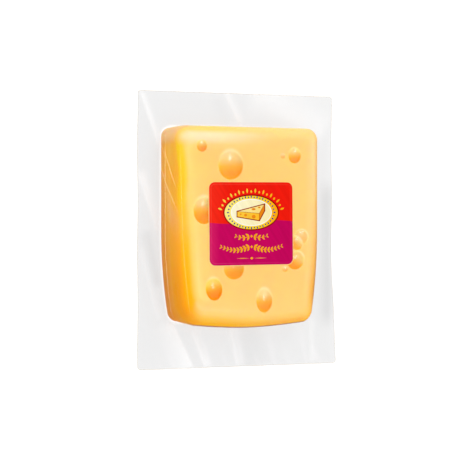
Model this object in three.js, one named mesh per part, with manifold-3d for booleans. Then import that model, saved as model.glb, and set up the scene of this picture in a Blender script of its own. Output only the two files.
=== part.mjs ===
// A cut block of Emmental-type cheese, vacuum packed in a clear pouch with a square paper label.
// The pack lies on its back: +Z out of the labelled face, +Y to the pack's top, +X to its right.
// The origin is at the middle of the pack's footprint, on the surface it rests on. Millimetres.

import * as THREE from 'three';
import { mergeVertices } from 'three/addons/utils/BufferGeometryUtils.js';
import Module from 'manifold-3d';

const wasm = await Module();
wasm.setup();

// --- Driving dimensions ---------------------------------------------------------------------

const GAP = 0.3; // between pieces that touch

// The cheese block: straight sides that draw in towards the foot, and a bowed foot.
const BLOCK_WIDTH = 92.6;
const BLOCK_TOP = 61;
const BLOCK_FOOT = -55;
const BLOCK_THICKNESS = 28;
const BLOCK_CENTRE_X = -2.2;
const BLOCK_CORNER_RADIUS = 6.7;
const TAPER = 0.098; // share of the width that is lost at the foot
const TAPER_START = -0.5; // the height at which the sides begin to draw in
const FOOT_BOW = 2.2; // how far the middle of the foot stands below its corners

// Rounding of the block's edges: how far it reaches in from the side, and down the side.
const FRONT_ROUND_REACH = 8;
const FRONT_ROUND_DEPTH = 7.5;
const BACK_ROUND_REACH = 4;
const BACK_ROUND_DEPTH = 4;

// The pouch: a flat sealed margin round the block, with the two films parting at the block.
const POUCH_LEFT = -63.4;
const POUCH_RIGHT = 61.1;
const POUCH_HALF_HEIGHT = 82.15;
const POUCH_CORNER_RADIUS = 2;
const POUCH_FLARE_START = -28; // below this height the right edge runs outwards
const POUCH_FLARE_SLOPE = 0.044;
const SEAM_HEIGHT = 6.2; // the margin's middle plane
const MARGIN_THICKNESS = 0.8;

// The parting of the two films: distance from the block and half the height between them.
const PARTING = [
  [0, 3.2],
  [0.9, 1.7],
  [2.2, 0.8],
  [4, MARGIN_THICKNESS / 2],
];

// Slanting ripples in the free margin, drawn out from the block, and a slight droop.
const RIPPLE_HEIGHT = 0.55;
const RIPPLE_PITCH = 21;
const RIPPLE_SLANT = 0.35;
const MARGIN_DROOP = 0.9;

// The label lies on the front face.
const LABEL_WIDTH = 52.4;
const LABEL_HEIGHT = 48.2;
const LABEL_THICKNESS = 0.4;
const LABEL_CENTRE = [-0.8, 3.6];
const LABEL_CORNER_RADIUS = 3.6;

// Steps along the outlines that the block and the pouch share.
const CORNER_STEPS = 5;
const SHORT_SIDE_STEPS = 22;
const LONG_SIDE_STEPS = 28;
const ROUND_STEPS = 6;

// The eyes are cut by tilted ellipsoids, deepest towards the foot of the pack.
const EYE_DEPTH_SHARE = 0.5; // depth at the middle, as a share of the half width
const EYE_RISE_SHARE = 0.25; // how far the ellipsoid's centre stands off the face
const EYE_TILT = 10; // degrees
const EYE_AROUND = 24;
const EYE_UP = 12;

// Each eye: its centre, its half width and half height, and its lean in degrees.
const FRONT_EYES = [
  { at: [-31.3, 48.7], half: [3.1, 3.3], lean: 0 },
  { at: [-13.5, 38.1], half: [7.6, 8.6], lean: 0 },
  { at: [26.8, 44.2], half: [3.9, 4.6], lean: 0 },
  { at: [19.4, 43.8], half: [1.5, 1.5], lean: 0 },
  { at: [-30.0, 11.6], half: [6.4, 8.1], lean: 0 },
  { at: [-11.5, -22.4], half: [6.2, 6.4], lean: 0 },
  { at: [-23.9, -34.2], half: [5.0, 6.7], lean: 8 },
  { at: [7.5, -41.3], half: [5.0, 7.2], lean: 0 },
  { at: [31.6, -3.9], half: [3.6, 3.6], lean: 0 },
  { at: [28.2, -8.2], half: [3.5, 3.3], lean: 0 },
  { at: [28.7, -17.5], half: [5.8, 5.8], lean: 0 },
  { at: [20.7, -23.1], half: [1.8, 1.7], lean: 0 },
];

const BACK_EYES = [
  { at: [-28, 34], half: [5.4, 6.0], lean: 0 },
  { at: [14, 43], half: [3.4, 3.6], lean: 0 },
  { at: [24, 8], half: [6.6, 7.2], lean: 0 },
  { at: [-20, -18], half: [3.8, 4.4], lean: 0 },
  { at: [12, -36], half: [5.2, 5.6], lean: 0 },
];

// --- Outlines -------------------------------------------------------------------------------

// A rounded rectangle as a closed run of points, anticlockwise from the right-hand side's foot.
function roundedOutline({ left, right, foot, top, radius }) {
  const corners = [
    { x: right - radius, y: top - radius, start: 0, steps: SHORT_SIDE_STEPS },
    { x: left + radius, y: top - radius, start: 90, steps: LONG_SIDE_STEPS },
    { x: left + radius, y: foot + radius, start: 180, steps: SHORT_SIDE_STEPS },
    { x: right - radius, y: foot + radius, start: 270, steps: LONG_SIDE_STEPS },
  ];
  const points = [];
  corners.forEach((corner, index) => {
    const next = corners[(index + 1) % corners.length];
    for (let step = 0; step <= CORNER_STEPS; step += 1) {
      const angle = THREE.MathUtils.degToRad(corner.start + (90 * step) / CORNER_STEPS);
      const x = corner.x + radius * Math.cos(angle);
      const y = corner.y + radius * Math.sin(angle);
      points.push(new THREE.Vector2(x, y));
    }
    const from = points[points.length - 1];
    const turn = THREE.MathUtils.degToRad(next.start);
    const to = new THREE.Vector2(next.x + radius * Math.cos(turn), next.y + radius * Math.sin(turn));
    for (let step = 1; step < corner.steps; step += 1) {
      points.push(from.clone().lerp(to, step / corner.steps));
    }
  });
  return points;
}

// The block's outline, drawn in by inset: its sides close towards the foot, and the foot bows.
function blockOutline(inset) {
  const half = BLOCK_WIDTH / 2 - inset;
  const outline = roundedOutline({
    left: -half,
    right: half,
    foot: BLOCK_FOOT + inset,
    top: BLOCK_TOP - inset,
    radius: BLOCK_CORNER_RADIUS - inset * 0.35,
  });
  return outline.map((point) => {
    const drawn = Math.max(0, (TAPER_START - point.y) / (TAPER_START - BLOCK_FOOT));
    const lowness = THREE.MathUtils.clamp(point.y / BLOCK_FOOT, 0, 1);
    const middle = 1 - (point.x / half) ** 2;
    const x = BLOCK_CENTRE_X + point.x * (1 - TAPER * drawn ** 2);
    return new THREE.Vector2(x, point.y - FOOT_BOW * middle * lowness);
  });
}

// The pouch's outer edge, whose right-hand side runs outwards towards the foot.
function pouchOutline() {
  const outline = roundedOutline({
    left: POUCH_LEFT,
    right: POUCH_RIGHT,
    foot: -POUCH_HALF_HEIGHT,
    top: POUCH_HALF_HEIGHT,
    radius: POUCH_CORNER_RADIUS,
  });
  return outline.map((point) => {
    const rightness = Math.max(0, point.x / POUCH_RIGHT);
    const flare = POUCH_FLARE_SLOPE * Math.max(0, POUCH_FLARE_START - point.y);
    return new THREE.Vector2(point.x + rightness * flare, point.y);
  });
}

// --- Meshes ---------------------------------------------------------------------------------

// Joins equal closed rings of points, from first to last, into a skin. Rings run anticlockwise
// seen from +Z. The skin is closed by a flat fan at both ends, or last to first as a hoop.
function skinGeometry(rings, closedHoop) {
  const count = rings[0].length;
  const positions = rings.flat().flatMap((point) => [point.x, point.y, point.z]);
  const faces = [];
  const bands = closedHoop ? rings.length : rings.length - 1;
  for (let band = 0; band < bands; band += 1) {
    const low = band * count;
    const high = ((band + 1) % rings.length) * count;
    for (let index = 0; index < count; index += 1) {
      const next = (index + 1) % count;
      faces.push(low + index, low + next, high + next);
      faces.push(low + index, high + next, high + index);
    }
  }
  if (!closedHoop) {
    const last = (rings.length - 1) * count;
    [0, last].forEach((start) => {
      const ring = rings[start / count];
      const middle = ring.reduce((sum, point) => sum.add(point), new THREE.Vector3());
      middle.divideScalar(count);
      const centre = positions.length / 3;
      positions.push(middle.x, middle.y, middle.z);
      for (let index = 0; index < count; index += 1) {
        const next = (index + 1) % count;
        const ends = start === 0 ? [next, index] : [index, next];
        faces.push(centre, start + ends[0], start + ends[1]);
      }
    });
  }
  const geometry = new THREE.BufferGeometry();
  geometry.setAttribute('position', new THREE.Float32BufferAttribute(positions, 3));
  geometry.setIndex(faces);
  geometry.computeVertexNormals();
  return geometry;
}

function toSolid(geometry) {
  const bare = geometry.clone();
  bare.deleteAttribute('normal');
  bare.deleteAttribute('uv');
  const merged = mergeVertices(bare, 1e-4);
  const mesh = new wasm.Mesh({
    numProp: 3,
    vertProperties: Float32Array.from(merged.attributes.position.array),
    triVerts: Uint32Array.from(merged.index.array),
  });
  return new wasm.Manifold(mesh);
}

function toGeometry(solid) {
  const mesh = solid.getMesh();
  const geometry = new THREE.BufferGeometry();
  geometry.setAttribute('position', new THREE.BufferAttribute(mesh.vertProperties, 3));
  geometry.setIndex(new THREE.BufferAttribute(mesh.triVerts, 1));
  geometry.computeVertexNormals();
  return geometry;
}

// --- The cheese -----------------------------------------------------------------------------

// The block before its eyes are cut: outlines stacked from the back face to the front face.
function blockGeometry() {
  const layers = [];
  for (let step = 0; step <= ROUND_STEPS; step += 1) {
    const turn = (Math.PI / 2) * (step / ROUND_STEPS);
    const inset = BACK_ROUND_REACH * (1 - Math.sin(turn));
    layers.push({ inset, z: BACK_ROUND_DEPTH * (1 - Math.cos(turn)) });
  }
  for (let step = 0; step <= ROUND_STEPS; step += 1) {
    const turn = (Math.PI / 2) * (step / ROUND_STEPS);
    const z = BLOCK_THICKNESS - FRONT_ROUND_DEPTH * (1 - Math.sin(turn));
    layers.push({ inset: FRONT_ROUND_REACH * (1 - Math.cos(turn)), z });
  }
  const rings = layers.map(({ inset, z }) => (
    blockOutline(inset).map((point) => new THREE.Vector3(point.x, point.y, z))
  ));
  return skinGeometry(rings, false);
}

// An ellipsoid that cuts one eye into the face at height faceZ, whose outside is towards side.
function eyeCutter(eye, faceZ, side) {
  const [halfWidth, halfHeight] = eye.half;
  const depth = EYE_DEPTH_SHARE * halfWidth;
  const reach = depth / (1 - EYE_RISE_SHARE);
  const widening = 1 / Math.sqrt(1 - EYE_RISE_SHARE ** 2);
  const cutter = new THREE.SphereGeometry(1, EYE_AROUND, EYE_UP);
  cutter.rotateX(Math.PI / 2);
  cutter.scale(halfWidth * widening, halfHeight * widening, reach);
  cutter.rotateX(THREE.MathUtils.degToRad(side * EYE_TILT));
  cutter.rotateZ(THREE.MathUtils.degToRad(eye.lean));
  cutter.translate(eye.at[0], eye.at[1], faceZ + side * EYE_RISE_SHARE * reach);
  return toSolid(cutter);
}

function cheeseGeometry() {
  let solid = toSolid(blockGeometry());
  FRONT_EYES.forEach((eye) => {
    solid = solid.subtract(eyeCutter(eye, BLOCK_THICKNESS, 1));
  });
  BACK_EYES.forEach((eye) => {
    solid = solid.subtract(eyeCutter(eye, 0, -1));
  });
  return toGeometry(solid);
}

// --- The pouch ------------------------------------------------------------------------------

// Height of the margin's middle above the seam plane: freedom is 0 at the block, 1 at the rim.
function marginLift(x, y, freedom) {
  const phase = (2 * Math.PI * (x + RIPPLE_SLANT * y)) / RIPPLE_PITCH;
  return freedom * (RIPPLE_HEIGHT * Math.sin(phase) - MARGIN_DROOP * freedom);
}

// The sealed margin: one closed hoop of film, from the block's side out to the rim and back.
function pouchGeometry() {
  const inner = blockOutline(-GAP);
  const outer = pouchOutline();
  const shares = [0.35, 0.68, 1];
  const stations = PARTING.map(([away, half]) => ({ away, share: 0, half }));
  shares.forEach((share) => stations.push({ away: 0, share, half: MARGIN_THICKNESS / 2 }));
  const start = PARTING[PARTING.length - 1][0];
  const ringAt = ({ away, share, half }, side) => outer.map((rim, index) => {
    const run = rim.clone().sub(inner[index]);
    const length = run.length();
    const distance = share === 0 ? away : start + share * (length - start);
    const point = inner[index].clone().addScaledVector(run, distance / length);
    const z = SEAM_HEIGHT + marginLift(point.x, point.y, distance / length) + side * half;
    return new THREE.Vector3(point.x, point.y, z);
  });
  const under = stations.map((station) => ringAt(station, -1));
  const over = stations.map((station) => ringAt(station, 1)).reverse();
  return skinGeometry([...under, ...over], true);
}

// --- The label ------------------------------------------------------------------------------

function labelGeometry() {
  const halfWidth = LABEL_WIDTH / 2;
  const halfHeight = LABEL_HEIGHT / 2;
  const inX = halfWidth - LABEL_CORNER_RADIUS;
  const inY = halfHeight - LABEL_CORNER_RADIUS;
  const shape = new THREE.Shape();
  shape.moveTo(halfWidth, -inY);
  shape.lineTo(halfWidth, inY);
  shape.absarc(inX, inY, LABEL_CORNER_RADIUS, 0, Math.PI / 2);
  shape.absarc(-inX, inY, LABEL_CORNER_RADIUS, Math.PI / 2, Math.PI);
  shape.absarc(-inX, -inY, LABEL_CORNER_RADIUS, Math.PI, Math.PI * 1.5);
  shape.absarc(inX, -inY, LABEL_CORNER_RADIUS, Math.PI * 1.5, Math.PI * 2);
  return new THREE.ExtrudeGeometry(shape, {
    depth: LABEL_THICKNESS,
    bevelEnabled: false,
    curveSegments: 6,
  });
}

// --- The pack -------------------------------------------------------------------------------

const cheeseMaterial = new THREE.MeshStandardMaterial({
  color: 0xffcf7c,
  roughness: 0.45,
  metalness: 0,
});
const filmMaterial = new THREE.MeshStandardMaterial({
  color: 0xf0f0ee,
  roughness: 0.15,
  metalness: 0,
  transparent: true,
  opacity: 0.5,
});
const labelMaterial = new THREE.MeshStandardMaterial({
  color: 0xd81430,
  roughness: 0.35,
  metalness: 0,
});

const cheese = new THREE.Mesh(cheeseGeometry(), cheeseMaterial);
cheese.name = 'cheese';

const pouch = new THREE.Mesh(pouchGeometry(), filmMaterial);
pouch.name = 'pouch';

const label = new THREE.Mesh(labelGeometry(), labelMaterial);
label.name = 'label';
label.position.set(LABEL_CENTRE[0], LABEL_CENTRE[1], BLOCK_THICKNESS + GAP);

const pack = new THREE.Group();
pack.add(cheese, pouch, label);

export default pack;
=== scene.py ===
"""A block of Emmental-type cheese, vacuum packed in clear film, with a square paper label.

The pack lies on its back with its label up: +Z out of the labelled face, +Y to its top.
Shapes are worked out in millimetres, in the frame's own axes, and turn into metres when
they become meshes.
"""

import math

import bmesh
import bpy
import numpy as np
from mathutils import Matrix, Vector
from mathutils.geometry import delaunay_2d_cdt


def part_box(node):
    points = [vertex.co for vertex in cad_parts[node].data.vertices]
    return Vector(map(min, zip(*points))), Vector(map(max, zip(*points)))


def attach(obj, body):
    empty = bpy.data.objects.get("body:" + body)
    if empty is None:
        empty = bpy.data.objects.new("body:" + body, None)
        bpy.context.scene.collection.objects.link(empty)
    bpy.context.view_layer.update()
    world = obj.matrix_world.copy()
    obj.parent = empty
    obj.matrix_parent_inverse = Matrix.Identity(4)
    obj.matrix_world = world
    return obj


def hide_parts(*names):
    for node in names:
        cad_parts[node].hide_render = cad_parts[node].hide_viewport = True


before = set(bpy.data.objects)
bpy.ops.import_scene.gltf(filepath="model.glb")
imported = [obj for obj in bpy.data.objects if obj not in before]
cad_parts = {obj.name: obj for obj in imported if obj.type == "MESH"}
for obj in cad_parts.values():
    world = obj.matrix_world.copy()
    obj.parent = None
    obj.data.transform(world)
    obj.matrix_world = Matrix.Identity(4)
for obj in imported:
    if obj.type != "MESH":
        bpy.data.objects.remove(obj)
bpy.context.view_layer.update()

MM = 0.001  # a millimetre, in metres


def box_mm(node):
    """The node's lowest and highest corners, in millimetres."""
    low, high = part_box(node)
    return np.array(low) / MM, np.array(high) / MM


# --- Sizes, in millimetres and degrees ------------------------------------------------------

CHEESE_LOW, CHEESE_HIGH = box_mm("cheese")
POUCH_LOW, POUCH_HIGH = box_mm("pouch")
LABEL_LOW, LABEL_HIGH = box_mm("label")

FILM = 0.1  # one film of the pouch
CLEARANCE = 0.08  # between the film and what it lies on
CLING = CLEARANCE + FILM / 2  # from the cheese to the middle of the film

# The block: straight sides that draw in towards the foot, and a bowed foot.
FOOT_BOW = 3.1
FOOT_RISE = 1.1  # how far the foot rises from the front to the back
TOP_FALL = 0.55  # how far the top falls towards its left end, at the back
FOOT_SAG = 0.55  # how far the middle of the foot bulges below the plain solid
FOOT_BOW_POWER, TOP_FALL_POWER = 1.7, 3  # how late each of these sets in along its side
CORNER_SHRINK = 0.35  # what a corner's radius loses with each millimetre that the outline draws in
BLOCK_FOOT = CHEESE_LOW[1] + FOOT_BOW - FOOT_SAG
BLOCK_TOP = CHEESE_HIGH[1]
BLOCK_HALF_WIDTH = (CHEESE_HIGH[0] - CHEESE_LOW[0]) / 2
BLOCK_CENTRE_X = (CHEESE_HIGH[0] + CHEESE_LOW[0]) / 2
BLOCK_FRONT = CHEESE_HIGH[2]
BLOCK_BACK = 2 * CLEARANCE + FILM
# Corner radii: top right, top left, then the foot's left and right.
BACK_CORNER_RADII = np.array((6.6, 5.2, 4.5, 5.5))
FRONT_CORNER_RADII = np.array((6.9, 9.5, 11.5, 5.9))
TAPER = 0.098
TAPER_START = -0.5
FRONT_ROUND_REACH = 8.0
FRONT_ROUND_DEPTH = 7.5
BACK_ROUND_REACH = 4.0
BACK_ROUND_DEPTH = 4.0

# The pouch: a flat sealed margin round the block, its right edge flared towards the foot.
POUCH_RIGHT = 61.1
POUCH_CORNER_RADIUS = 2.0
POUCH_FLARE_START = -28.0
POUCH_FLARE_SLOPE = 0.058
SEAM_HEIGHT = 6.2
PARTING_HALF_HEIGHT = 3.2  # where the two films leave the block, above and below the seam
PARTING_REACH = 1.25  # over this distance from the block the films close by a factor of e

# Slanting ripples in the free margin, and its slight droop.
RIPPLE_HEIGHT = 0.55
RIPPLE_PITCH = 21.0
RIPPLE_SLANT = 0.35
MARGIN_DROOP = 0.9

# Steps along the outlines that the block and the pouch share, and rings up the block's back
# rounding, its side and its front rounding, for the cheese and for the film.
CORNER_STEPS, SHORT_SIDE_STEPS, LONG_SIDE_STEPS = 12, 150, 120
CHEESE_RINGS, FILM_RINGS = (9, 15, 17), (7, 8, 15)
CHEESE_SPACING, FILM_SPACING = (1.3, 1.6), (1.5, 2.0)  # of points on the front and on the back
FILM_BACK_TURN = 20.0  # the turn on the back rounding at which the film takes hold of it

# The eyes: deepest towards the foot of the pack.
EYE_DEPTH_SHARE = 0.5
EYE_RISE_SHARE = 0.25
EYE_TILT = 10.0
FAINT_LOSS = 0.5  # how much of its depth the faintest eye loses
WIDE_EYE = 5.0  # the half width from which an eye's rim is as soft as it gets
RIM_SOFTENING = 0.6  # how fast an eye's rim turns from crisp to soft, from its foot up
# How the eyes dish the cheese and the film: the share of their depth, and how far the rim
# bends at an eye's foot and at its top.
CHEESE_DISH, FILM_DISH = (1.0, 0.2, 1.2), (0.5, 0.5, 0.9)

# Each eye: centre, half width and half height, lean in degrees, how rich its colour is, or
# below nought how faint, and how bright the film over it glints. The lean also turns an
# eye's painted shade; the eyes beside the label lean so that it deepens towards the label.
FRONT_EYES = (
    ((-31.3, 48.9), (3.1, 3.4), 0, 0.4, 4.5),
    ((-13.5, 38.1), (7.6, 8.6), 0, 0.0, 1.8),
    ((26.8, 44.2), (3.9, 4.6), 0, 0.2, 2.5),
    ((19.4, 43.8), (1.5, 1.5), 0, -0.5, 3.0),
    ((-30.0, 11.6), (6.4, 8.1), 0, 0.2, 1.5),
    ((-11.5, -22.4), (6.2, 6.4), 0, 0.0, 1.0),
    ((-23.9, -34.2), (5.0, 6.7), 8, 1.0, 1.6),
    ((7.5, -41.3), (5.0, 7.2), 0, 0.0, 1.6),
    ((31.1, -4.1), (4.1, 4.3), -25, -0.72, 3.0),
    ((27.9, -7.6), (4.4, 4.0), -45, -0.1, 1.0),
    ((27.6, -17.9), (5.1, 5.7), -40, 0.3, 2.1),
    ((20.7, -23.1), (1.8, 1.7), 0, -0.4, 4.0),
)
BACK_EYES = (
    ((-28, 34), (5.4, 6.0), 0, 0.4, 1.0),
    ((14, 43), (3.4, 3.6), 0, 0.3, 1.0),
    ((24, 8), (6.6, 7.2), 0, 0.4, 1.0),
    ((-20, -18), (3.8, 4.4), 0, 0.3, 1.0),
    ((12, -36), (5.2, 5.6), 0, 0.5, 1.0),
)

# Folds in the margin. Each: its two ends, how wide it is to its left and to its right, how
# high it stands, and its tone: whitened above nought, greyed below. The whitening is partly
# painted highlight, laid where soft reflections run along a fold; the greyed bands round the
# block are painted shade.
MARGIN_FOLDS = (
    ((-62.6, 84), (-49.1, 46), (0.9, 2.4), 0.25, 0.34),
    ((-63.5, 37), (-50.0, -3), (1.6, 4.0), 0.25, 0.35),
    ((-58.5, 2), (-50.5, -36), (4.0, 2.5), 0.0, -0.34),
    ((-62.5, -8), (-50.5, -56), (1.2, 3.0), 0.25, 0.18),
    ((-9.5, 84), (1.0, 62), (1.2, 3.0), 0.25, 0.25),
    ((-15.0, 80), (-7.0, 62), (5.0, 3.5), 0.0, -0.10),
    ((6.0, 86), (60.0, 58), (9.0, 13.0), 0.0, 0.25),
    ((57.9, 34), (58.6, -64), (5.2, 3.4), 0.0, -0.62),
    ((50.6, 50), (50.0, -30), (1.2, 1.4), 0.15, 0.25),
    ((46.6, -52), (47.2, -84), (1.6, 2.4), 0.25, 0.16),
    ((-44.0, -51), (-28.6, -84), (8.0, 0.7), 0.3, 0.45),
    ((-31.5, -58), (-19.6, -84), (1.0, 3.4), 0.25, 0.30),
    ((-7.0, -56), (0.6, -84), (1.4, 3.2), 0.25, 0.22),
    ((4.0, -56), (10.0, -84), (7.0, 9.0), 0.0, -0.22),
)

# Creases that cross the block's left side, as points of (y, z).
SIDE_CREASES = (
    ((50.5, 4.0), (43.0, 14.2), (37.1, 20.6), (31.0, 23.6), (24.7, 25.8)),
    ((39.5, 1.2), (34.0, 7.6), (28.1, 13.4), (23.0, 19.6), (18.5, 23.4), (11.0, 26.4)),
)
# A crease along the left side: its height, how far left the side counts as that, and the
# steps and the way by which it runs off at its end.
SIDE_LINE_HEIGHT, LEFT_SHARE = 13.0, 0.82
SIDE_LINE_TAIL = np.outer((0.35, 0.7, 1.0), (0.6, -4.2, -4.0))
CREASE_WIDTH, FRONT_CREASE_WIDTH, CUT_EDGE_WIDTH = 0.44, 0.24, 0.34
CREASE_TAPER, NO_TAPER = 0.2, 0.001  # the share of a bead's length in which it thins at its ends
CREASE_STAND = CLING + FILM / 2 + CREASE_WIDTH / 2  # from the cheese to a crease's middle
# The crease along the left front edge, at its top and at its foot: its turn on the rounding
# and how far it stops short of the block's end.
EDGE_LINE_TURNS, EDGE_LINE_ENDS, EDGE_LINE_STEPS = (61.0, 83.5), (9.0, 3.0), 40


# --- The camera -----------------------------------------------------------------------------

FRAME_PX = 453
SENSOR = 36.0
VIEW_TURN = 20.0  # how far left of square the pack is seen
VIEW_FOCAL_PX = 1348.9
VIEW_DISTANCE = 809.3
VIEW_CENTRE = (-8.24, 2.09, SEAM_HEIGHT)  # the point of the pack in the middle of the frame


def set_camera():
    turn = math.radians(VIEW_TURN)
    right = Vector((math.cos(turn), 0, math.sin(turn)))
    up = Vector((0, 1, 0))
    back = right.cross(up)
    data = bpy.data.cameras.new("view")
    data.sensor_fit = "HORIZONTAL"
    data.sensor_width = SENSOR
    data.lens = SENSOR * VIEW_FOCAL_PX / FRAME_PX
    camera = bpy.data.objects.new("view", data)
    place = Matrix((right, up, back)).transposed().to_4x4()
    place.translation = (Vector(VIEW_CENTRE) + back * VIEW_DISTANCE) * MM
    camera.matrix_world = place
    bpy.context.scene.collection.objects.link(camera)
    bpy.context.scene.camera = camera


# --- Nodes and colours ----------------------------------------------------------------------

MIX_A, MIX_B = 6, 7  # a Mix node's colour inputs


def linear(hex_code, alpha=1.0):
    """An sRGB hex colour as the linear values that shaders take."""
    parts = [int(hex_code[i:i + 2], 16) / 255 for i in (1, 3, 5)]
    curve = [p / 12.92 if p <= 0.04045 else ((p + 0.055) / 1.055) ** 2.4 for p in parts]
    return (*curve, alpha)


def add(tree, kind, inputs=None, stops=None, **settings):
    """Adds a node: its settings, its ramp stops, and its inputs, each as a value, a socket to
    link or a node whose first live output is linked."""
    node = tree.nodes.new(kind)
    for name, value in settings.items():
        setattr(node, name, value)
    for key, value in (inputs or {}).items():
        if isinstance(value, bpy.types.Node):
            value = next(socket for socket in value.outputs if socket.enabled)
        if isinstance(value, bpy.types.NodeSocket):
            tree.links.new(value, node.inputs[key])
        else:
            node.inputs[key].default_value = value
    if stops:
        elements = node.color_ramp.elements
        for position, _ in stops[1:-1]:
            elements.new(position)
        for stop, (position, colour) in zip(elements, stops):
            stop.position = position
            stop.color = linear(colour)
    return node


def new_material(name):
    material = bpy.data.materials.new(name)
    material.use_nodes = True
    material.node_tree.nodes.clear()
    return material, material.node_tree


def finish_material(tree, shader):
    add(tree, "ShaderNodeOutputMaterial", {"Surface": shader})


# --- Outlines -------------------------------------------------------------------------------


def rounded_outline(left, right, foot, top, radii):
    """A rounded rectangle as a closed run of points, anticlockwise from its right top."""
    signs = ((1, 1), (-1, 1), (-1, -1), (1, -1))
    corners = [((right if sx > 0 else left) - sx * radius, (top if sy > 0 else foot) - sy * radius)
               for (sx, sy), radius in zip(signs, radii)]
    steps = (SHORT_SIDE_STEPS, LONG_SIDE_STEPS) * 2
    runs = []
    for index, (x, y) in enumerate(corners):
        turn = np.radians(90 * index + np.linspace(0, 90, CORNER_STEPS + 1))
        way = np.column_stack((np.cos(turn), np.sin(turn)))
        after = (index + 1) % len(corners)
        curve = (x, y) + radii[index] * way
        end = corners[after] + radii[after] * way[-1]
        share = np.arange(1, steps[index])[:, None] / steps[index]
        runs += [curve, curve[-1] + (end - curve[-1]) * share]
    return np.concatenate(runs)


def narrowing(y):
    """The block's width at a height y, as a share of its full width."""
    drawn = np.maximum(0, (TAPER_START - y) / (TAPER_START - BLOCK_FOOT))
    return 1 - TAPER * drawn ** 2


def block_outline(inset, forward=0.0):
    """The block's outline, drawn in by inset. Its corners change from back to front."""
    half = BLOCK_HALF_WIDTH - inset
    radii = BACK_CORNER_RADII * (1 - forward) + FRONT_CORNER_RADII * forward
    radii = radii - CORNER_SHRINK * inset
    x, y = rounded_outline(-half, half, BLOCK_FOOT + inset, BLOCK_TOP - inset, radii).T
    lowness, highness = np.clip(y / BLOCK_FOOT, 0, 1), np.clip(y / BLOCK_TOP, 0, 1)
    middle = 1 - np.abs(x / half) ** FOOT_BOW_POWER
    leftness = np.clip(-x / half, 0, 1) ** TOP_FALL_POWER
    rise = (FOOT_RISE * (1 - forward) - FOOT_BOW * middle) * lowness
    fall = TOP_FALL * (1 - forward) * highness * leftness
    return np.column_stack((BLOCK_CENTRE_X + x * narrowing(y), y + rise - fall))


def pouch_outline():
    """The pouch's outer edge, whose right side runs outwards towards the foot."""
    outline = rounded_outline(
        POUCH_LOW[0], POUCH_RIGHT, POUCH_LOW[1], POUCH_HIGH[1], (POUCH_CORNER_RADIUS,) * 4)
    x, y = outline.T
    rightness = np.maximum(0, x / POUCH_RIGHT)
    flare = POUCH_FLARE_SLOPE * np.maximum(0, POUCH_FLARE_START - y)
    return np.column_stack((x + rightness * flare, y))


def ring(outline, z):
    return np.column_stack((outline, np.broadcast_to(z, len(outline))))


def front_profile(turn, away=0.0):
    """Inset and height on the front edge's rounding: turn is 0 on the side, 90 on the face."""
    angle = np.radians(turn)
    out = np.array((np.cos(angle) / FRONT_ROUND_REACH, np.sin(angle) / FRONT_ROUND_DEPTH))
    out = out / np.linalg.norm(out, axis=0)
    inset = FRONT_ROUND_REACH * (1 - np.cos(angle)) - away * out[0]
    return inset, BLOCK_FRONT - FRONT_ROUND_DEPTH * (1 - np.sin(angle)) + away * out[1]


def front_round(turn, away=0.0):
    inset, z = front_profile(turn, away)
    return ring(block_outline(inset, 1.0), z)


def side_ring(z, away=0.0):
    """A ring round the straight side, at a height between the two roundings."""
    low, high = SEAM_HEIGHT + PARTING_HALF_HEIGHT, BLOCK_FRONT - FRONT_ROUND_DEPTH
    return ring(block_outline(-away, np.clip((z - low) / (high - low), 0, 1)), z)


def back_round(turn, away=0.0):
    """A ring on the back edge's rounding: turn is 0 on the side and 90 on the back face."""
    angle = math.radians(turn)
    inset = BACK_ROUND_REACH * (1 - math.cos(angle)) - away * math.cos(angle)
    z = BLOCK_BACK + BACK_ROUND_DEPTH * (1 - math.sin(angle)) - away * math.sin(angle)
    return ring(block_outline(inset), z)


# --- Eyes -----------------------------------------------------------------------------------


def eye_frame(points, eye):
    """Points in an eye's own axes, upright and with its centre at nought."""
    centre, _, lean, _, _ = eye
    angle = math.radians(lean)
    x, y = (points[:, :2] - centre).T
    return x * math.cos(angle) + y * math.sin(angle), y * math.cos(angle) - x * math.sin(angle)


def eye_depth(points, eye):
    """How far a tilted ellipsoid reaches under the face, and far below nought outside it."""
    half_width, half_height = eye[1]
    reach = EYE_DEPTH_SHARE * half_width / (1 - EYE_RISE_SHARE)
    widening = 1 / math.sqrt(1 - EYE_RISE_SHARE ** 2)
    a, b = half_width * widening, half_height * widening
    cos, sin = math.cos(math.radians(EYE_TILT)), math.sin(math.radians(EYE_TILT))
    x, y = eye_frame(points, eye)
    square = (sin / b) ** 2 + (cos / reach) ** 2
    slope = 2 * y * sin * cos * (1 / b ** 2 - 1 / reach ** 2)
    rest = y ** 2 * ((cos / b) ** 2 + (sin / reach) ** 2) + (x / a) ** 2 - 1
    inside = slope ** 2 - 4 * square * rest
    low = (-slope - np.sqrt(np.maximum(inside, 0))) / (2 * square)
    return np.where(inside > 0, -low - EYE_RISE_SHARE * reach, -reach)


def dished(points, eyes, share, crisp, soft):
    """Depth of the eyes at each point. The rim is crisp at an eye's foot and soft at its top."""
    depth = np.zeros(len(points))
    for eye in eyes:
        _, (half_width, half_height), _, richness, _ = eye
        cut = share * (1 + FAINT_LOSS * min(0, richness)) * eye_depth(points, eye)
        _, y = eye_frame(points, eye)
        highness = np.clip(0.5 + RIM_SOFTENING * y / half_height, 0, 1)
        bend = (crisp + (soft - crisp) * highness) * min(1, half_width / WIDE_EYE)
        depth = np.maximum(depth, (cut + np.sqrt(cut ** 2 + bend ** 2) - bend) / 2)
    return depth


# --- Meshes ---------------------------------------------------------------------------------

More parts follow.
